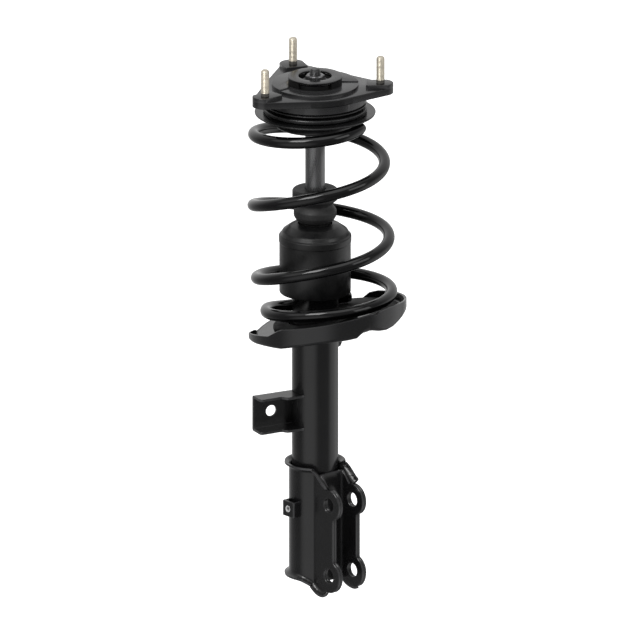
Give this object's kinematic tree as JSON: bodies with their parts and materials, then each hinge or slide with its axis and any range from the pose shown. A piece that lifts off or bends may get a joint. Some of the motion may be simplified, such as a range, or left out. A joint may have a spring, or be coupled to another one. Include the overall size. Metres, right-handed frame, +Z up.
{
  "type": "front suspension strut",
  "caption": "Front suspension strut: twin-tube damper with coil spring, tilted spring seats, three-stud bearing top mount, link bracket and two-bolt knuckle clevis.",
  "frame": {"origin": "on the damper rod's axis, level with the faces of the top mount's three pads that bolt up under the car's strut tower", "axes": "+Z up along the damper rod towards the strut tower, -Y towards the knuckle that the clevis ears hold, +X to the right seen from the knuckle's side"},
  "size_m": [0.1764, 0.1938, 0.6071],
  "materials": {
    "black_paint": "semi-gloss black cathodic dip paint",
    "spring_paint": "gloss black powder coat",
    "zinc_studs": "pale yellow zinc plate",
    "bright_steel": "machined or zinc plated steel",
    "piston_rod": "dark ground and hard-plated",
    "black_rubber": "matte",
    "bumper_foam": "matte closed-cell foam",
    "black_plastic": "moulded, satin"
  },
  "bodies": {
    "top_mount": {"mount_plate": "black_paint", "mount_top_ring": "black_paint", "mount_lower_shell": "black_paint", "mount_rubber_bushing": "black_rubber", "mount_inner_sleeve": "bright_steel", "mount_upper_washer": "bright_steel", "mount_lower_washer": "bright_steel", "rod_top_nut": "bright_steel", "mount_stud_left": "zinc_studs", "mount_stud_rear": "zinc_studs", "mount_stud_right": "zinc_studs", "bearing_upper_race": "black_plastic", "piston_rod": "piston_rod", "rebound_stop": "black_rubber", "damper_piston": "bright_steel", "piston_band": "black_rubber", "piston_nut": "bright_steel"},
    "bearing_cage": {"bearing_cage": "black_plastic", "bearing_ball_01": "bright_steel", "bearing_ball_02": "bright_steel", "bearing_ball_03": "bright_steel", "bearing_ball_04": "bright_steel", "bearing_ball_05": "bright_steel", "bearing_ball_06": "bright_steel", "bearing_ball_07": "bright_steel", "bearing_ball_08": "bright_steel", "bearing_ball_09": "bright_steel", "bearing_ball_10": "bright_steel", "bearing_ball_11": "bright_steel", "bearing_ball_12": "bright_steel"},
    "spring_seat": {"bearing_lower_race": "black_plastic", "bearing_dust_seal": "black_rubber", "upper_spring_seat": "black_paint", "upper_spring_insulator": "black_rubber", "coil_spring": "spring_paint"},
    "strut_body": {"strut_tube": "black_paint", "tube_top_cap": "black_paint", "tube_bottom_cap": "black_paint", "pressure_tube": "bright_steel", "base_valve": "bright_steel", "rod_guide": "bright_steel", "rod_seal": "black_rubber", "lower_spring_seat": "black_paint", "lower_spring_insulator": "black_rubber", "seat_gusset": "black_paint", "jounce_bumper": "bumper_foam", "dust_shield": "black_plastic", "link_bracket": "black_paint", "knuckle_bracket": "black_paint", "knuckle_reinforcement": "black_paint", "hose_bracket": "black_paint"}
  },
  "joints": [
    {"name": "steer_swivel", "type": "hinge", "parent": "top_mount", "child": "spring_seat", "pos_m": [0, 0, -0.0273], "axis": [0, 0, 1], "range_deg": [-40, 40]},
    {"name": "bearing_roll", "type": "hinge", "parent": "top_mount", "child": "bearing_cage", "pos_m": [0, 0, -0.0273], "axis": [0, 0, 1], "range_deg": [-20, 20]},
    {"name": "damper_stroke", "type": "slide", "parent": "spring_seat", "child": "strut_body", "axis": [0, 0, 1], "range_m": [0, 0.095], "stiffness_N_per_m": 22000, "springref_m": -0.09, "deforming": ["coil_spring", "jounce_bumper"]}
  ],
  "couplings": [
    {"joint": "bearing_roll", "follows": "steer_swivel", "ratio": 0.5}
  ]
}
